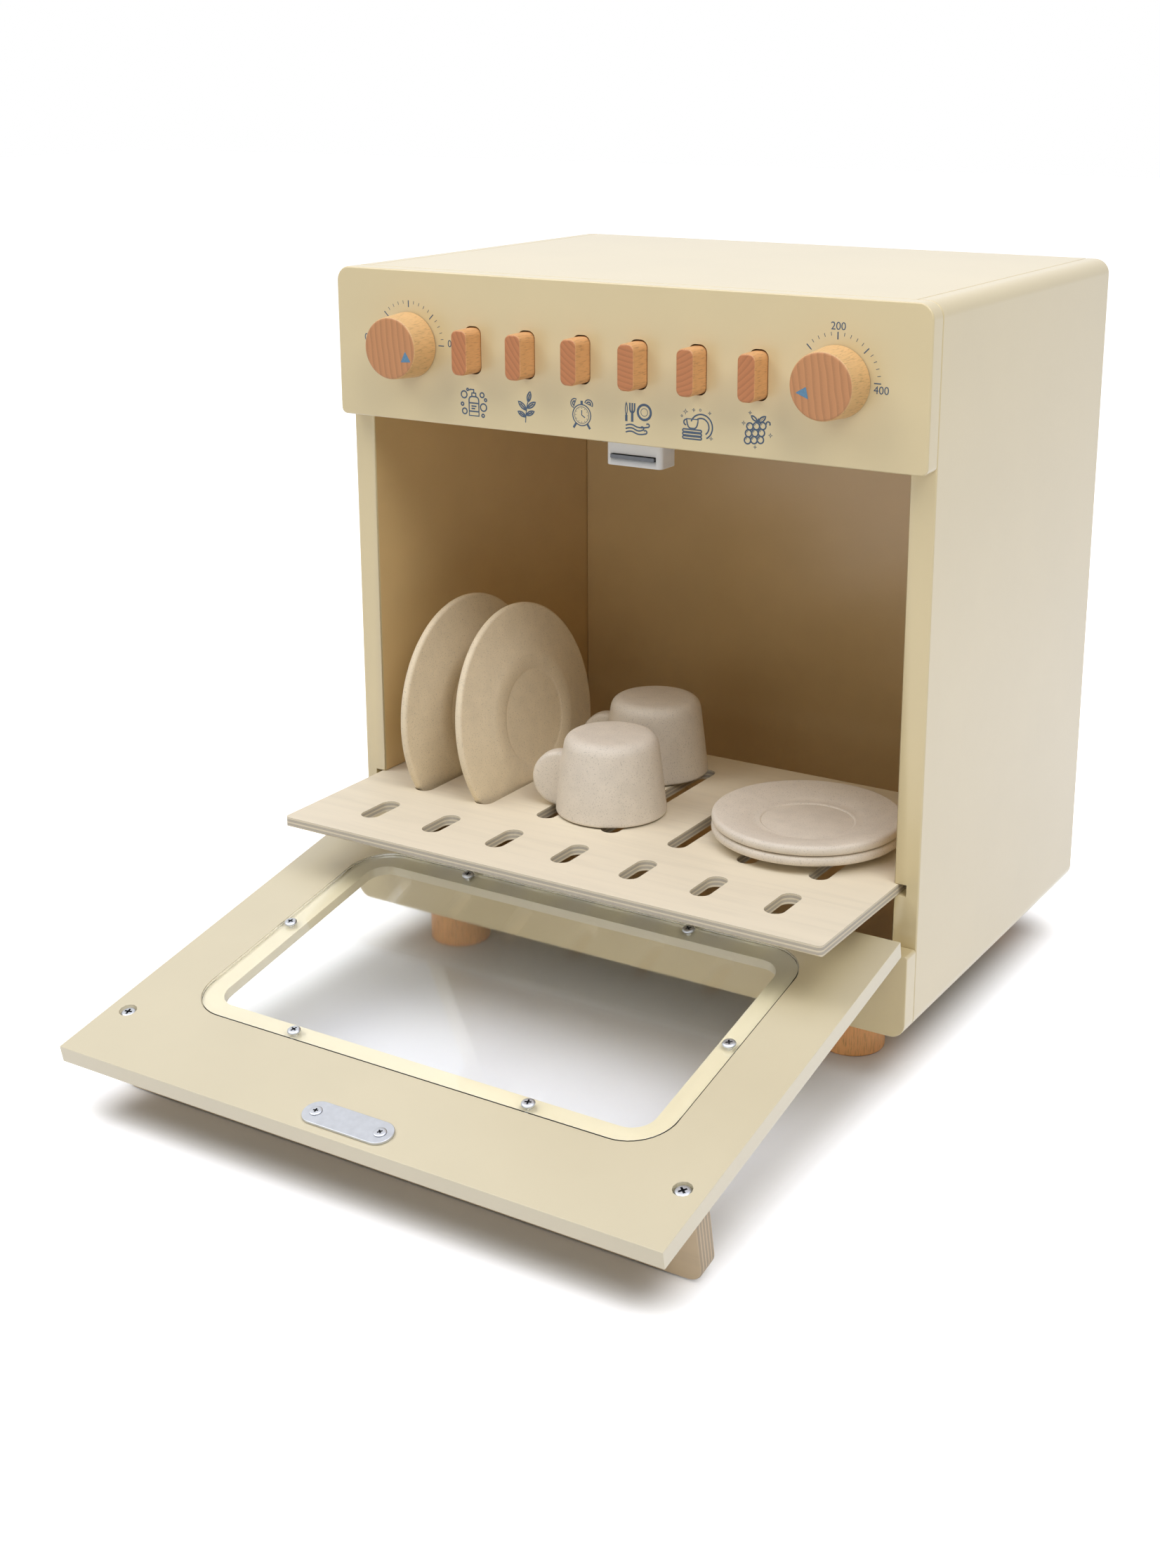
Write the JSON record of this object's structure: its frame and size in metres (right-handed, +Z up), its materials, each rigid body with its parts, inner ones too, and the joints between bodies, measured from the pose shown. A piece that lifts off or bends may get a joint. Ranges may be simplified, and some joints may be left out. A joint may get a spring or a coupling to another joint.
{
  "type": "toy dishwasher",
  "caption": "Wooden play dishwasher with a drop-down door and clear window, slotted pull-out rack, turning knobs, press buttons, magnetic catch and toy dishes.",
  "frame": {"origin": "middle of the footprint of the rest pose, on the floor under the feet", "axes": "+X to the right seen from the front, +Y from the open door to the back panel, +Z up"},
  "size_m": [0.3, 0.4204, 0.3445],
  "materials": {
    "cream_paint": "cream satin paint on fibreboard",
    "beech": "clear lacquered beech",
    "birch_plywood": "clear lacquered birch plywood with bare edges",
    "dish_plastic": "matt speckled beige",
    "plated_steel": "nickel-plated steel",
    "spring_wire": "bare spring wire",
    "white_plastic": "white moulded",
    "clear_sheet": "clear acrylic sheet"
  },
  "bodies": {
    "cabinet": {"left_side_panel": "cream_paint", "right_side_panel": "cream_paint", "top_panel": "cream_paint", "back_panel": "cream_paint", "bottom_panel": "cream_paint", "control_fascia": "cream_paint", "plinth_panel": "cream_paint", "inner_ceiling": "cream_paint", "hinge_plinth_leaf_left": "plated_steel", "catch_screw_left": "plated_steel", "knob_bolt_left": "plated_steel", "foot_front_left": "beech", "foot_rear_left": "beech", "hinge_plinth_leaf_right": "plated_steel", "catch_screw_right": "plated_steel", "knob_bolt_right": "plated_steel", "foot_front_right": "beech", "foot_rear_right": "beech", "catch_housing": "white_plastic", "catch_magnet_plate": "plated_steel", "spring_rail": "birch_plywood", "button_spring_1": "spring_wire", "button_spring_2": "spring_wire", "button_spring_3": "spring_wire", "button_spring_4": "spring_wire", "button_spring_5": "spring_wire", "button_spring_6": "spring_wire"},
    "hinge_pins": {"hinge_pin_left": "plated_steel", "hinge_pin_right": "plated_steel"},
    "door": {"door_panel": "cream_paint", "hinge_door_leaf_left": "plated_steel", "strike_screw_left": "plated_steel", "handle_screw_left": "plated_steel", "hinge_door_leaf_right": "plated_steel", "strike_screw_right": "plated_steel", "handle_screw_right": "plated_steel", "window_pane": "clear_sheet", "strike_plate": "plated_steel", "door_handle": "birch_plywood", "pane_screw_1": "plated_steel", "pane_screw_2": "plated_steel", "pane_screw_3": "plated_steel", "pane_screw_4": "plated_steel", "pane_screw_5": "plated_steel", "pane_screw_6": "plated_steel"},
    "rack": {"rack": "birch_plywood"},
    "knob_left": {"knob_left": "beech"},
    "knob_right": {"knob_right": "beech"},
    "button_1": {"button_1": "beech"},
    "button_2": {"button_2": "beech"},
    "button_3": {"button_3": "beech"},
    "button_4": {"button_4": "beech"},
    "button_5": {"button_5": "beech"},
    "button_6": {"button_6": "beech"},
    "dinner_plate_1": {"dinner_plate_1": "dish_plastic"},
    "dinner_plate_2": {"dinner_plate_2": "dish_plastic"},
    "saucer_lower": {"saucer_lower": "dish_plastic"},
    "saucer_upper": {"saucer_upper": "dish_plastic"},
    "cup_front": {"cup_front": "dish_plastic"},
    "cup_rear": {"cup_rear": "dish_plastic"}
  },
  "joints": [
    {"name": "door_hinge", "type": "hinge", "parent": "cabinet", "child": "hinge_pins", "pos_m": [0, -0.00531, 0.0648], "axis": [-1, 0, 0], "range_deg": [0, 78.3]},
    {"name": "door_pin_swing", "type": "hinge", "parent": "hinge_pins", "child": "door", "pos_m": [0, -0.00531, 0.0648], "axis": [-1, 0, 0], "range_deg": [0, 22.98]},
    {"name": "rack_slide", "type": "slide", "parent": "cabinet", "child": "rack", "axis": [0, 1, 0], "range_m": [0, 0.0839]},
    {"name": "knob_turn_left", "type": "hinge", "parent": "cabinet", "child": "knob_left", "pos_m": [-0.1086, -0.01176, 0.3103], "axis": [0, -1, 0], "continuous": true},
    {"name": "knob_turn_right", "type": "hinge", "parent": "cabinet", "child": "knob_right", "pos_m": [0.1086, -0.01176, 0.3103], "axis": [0, -1, 0], "continuous": true},
    {"name": "button_press_1", "type": "slide", "parent": "cabinet", "child": "button_1", "axis": [0, 1, 0], "range_m": [0, 0.004], "stiffness_N_per_m": 150, "springref_m": -0.004, "deforming": ["button_spring_1"]},
    {"name": "button_press_2", "type": "slide", "parent": "cabinet", "child": "button_2", "axis": [0, 1, 0], "range_m": [0, 0.004], "stiffness_N_per_m": 150, "springref_m": -0.004, "deforming": ["button_spring_2"]},
    {"name": "button_press_3", "type": "slide", "parent": "cabinet", "child": "button_3", "axis": [0, 1, 0], "range_m": [0, 0.004], "stiffness_N_per_m": 150, "springref_m": -0.004, "deforming": ["button_spring_3"]},
    {"name": "button_press_4", "type": "slide", "parent": "cabinet", "child": "button_4", "axis": [0, 1, 0], "range_m": [0, 0.004], "stiffness_N_per_m": 150, "springref_m": -0.004, "deforming": ["button_spring_4"]},
    {"name": "button_press_5", "type": "slide", "parent": "cabinet", "child": "button_5", "axis": [0, 1, 0], "range_m": [0, 0.004], "stiffness_N_per_m": 150, "springref_m": -0.004, "deforming": ["button_spring_5"]},
    {"name": "button_press_6", "type": "slide", "parent": "cabinet", "child": "button_6", "axis": [0, 1, 0], "range_m": [0, 0.004], "stiffness_N_per_m": 150, "springref_m": -0.004, "deforming": ["button_spring_6"]},
    {"name": "plate_lift_1", "type": "slide", "parent": "rack", "child": "dinner_plate_1", "axis": [-0.061, 0, 0.9981], "range_m": [0, 0.06]},
    {"name": "plate_lift_2", "type": "slide", "parent": "rack", "child": "dinner_plate_2", "axis": [-0.1478, 0, 0.989], "range_m": [0, 0.06]},
    {"name": "saucer_lift_lower", "type": "slide", "parent": "rack", "child": "saucer_lower", "axis": [0, 0, 1], "range_m": [0, 0.06]},
    {"name": "saucer_lift_upper", "type": "slide", "parent": "saucer_lower", "child": "saucer_upper", "axis": [0, 0, 1], "range_m": [0, 0.06]},
    {"name": "cup_lift_front", "type": "slide", "parent": "rack", "child": "cup_front", "axis": [0, 0, 1], "range_m": [0, 0.06]},
    {"name": "cup_lift_rear", "type": "slide", "parent": "rack", "child": "cup_rear", "axis": [0, 0, 1], "range_m": [0, 0.06]}
  ],
  "couplings": [
    {"joint": "rack_slide", "follows": "door_hinge", "m_per_rad": 0.061393}
  ]
}
